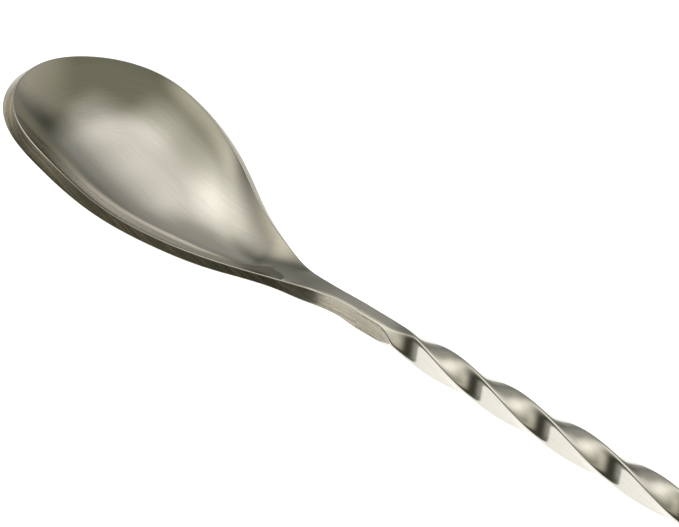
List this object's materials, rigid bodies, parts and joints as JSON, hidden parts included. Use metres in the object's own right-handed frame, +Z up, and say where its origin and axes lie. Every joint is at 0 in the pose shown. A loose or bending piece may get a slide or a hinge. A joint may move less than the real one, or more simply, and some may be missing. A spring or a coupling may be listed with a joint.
{
  "type": "bar spoon",
  "caption": "Long bar spoon with a thick dished bowl on a slim neck, a twisted square stem and a teardrop weight at the far end.",
  "frame": {"origin": "halfway along the spoon, on its centre plane, on the surface it lies on, bowl upwards", "axes": "+X along the stem from the bowl's tip to the weight, +Z up out of the open bowl, +Y completes the right-handed frame"},
  "size_m": [0.3016, 0.0296, 0.0151],
  "materials": {
    "polished_bowl": "polished stainless steel, fine haze of hand polishing inside, ground cut edge",
    "brushed_stem": "satin polished stainless steel",
    "polished_weight": "satin polished stainless steel"
  },
  "bodies": {
    "root": {"bowl": "polished_bowl", "twisted_stem": "brushed_stem", "teardrop_weight": "polished_weight"}
  },
  "joints": []
}
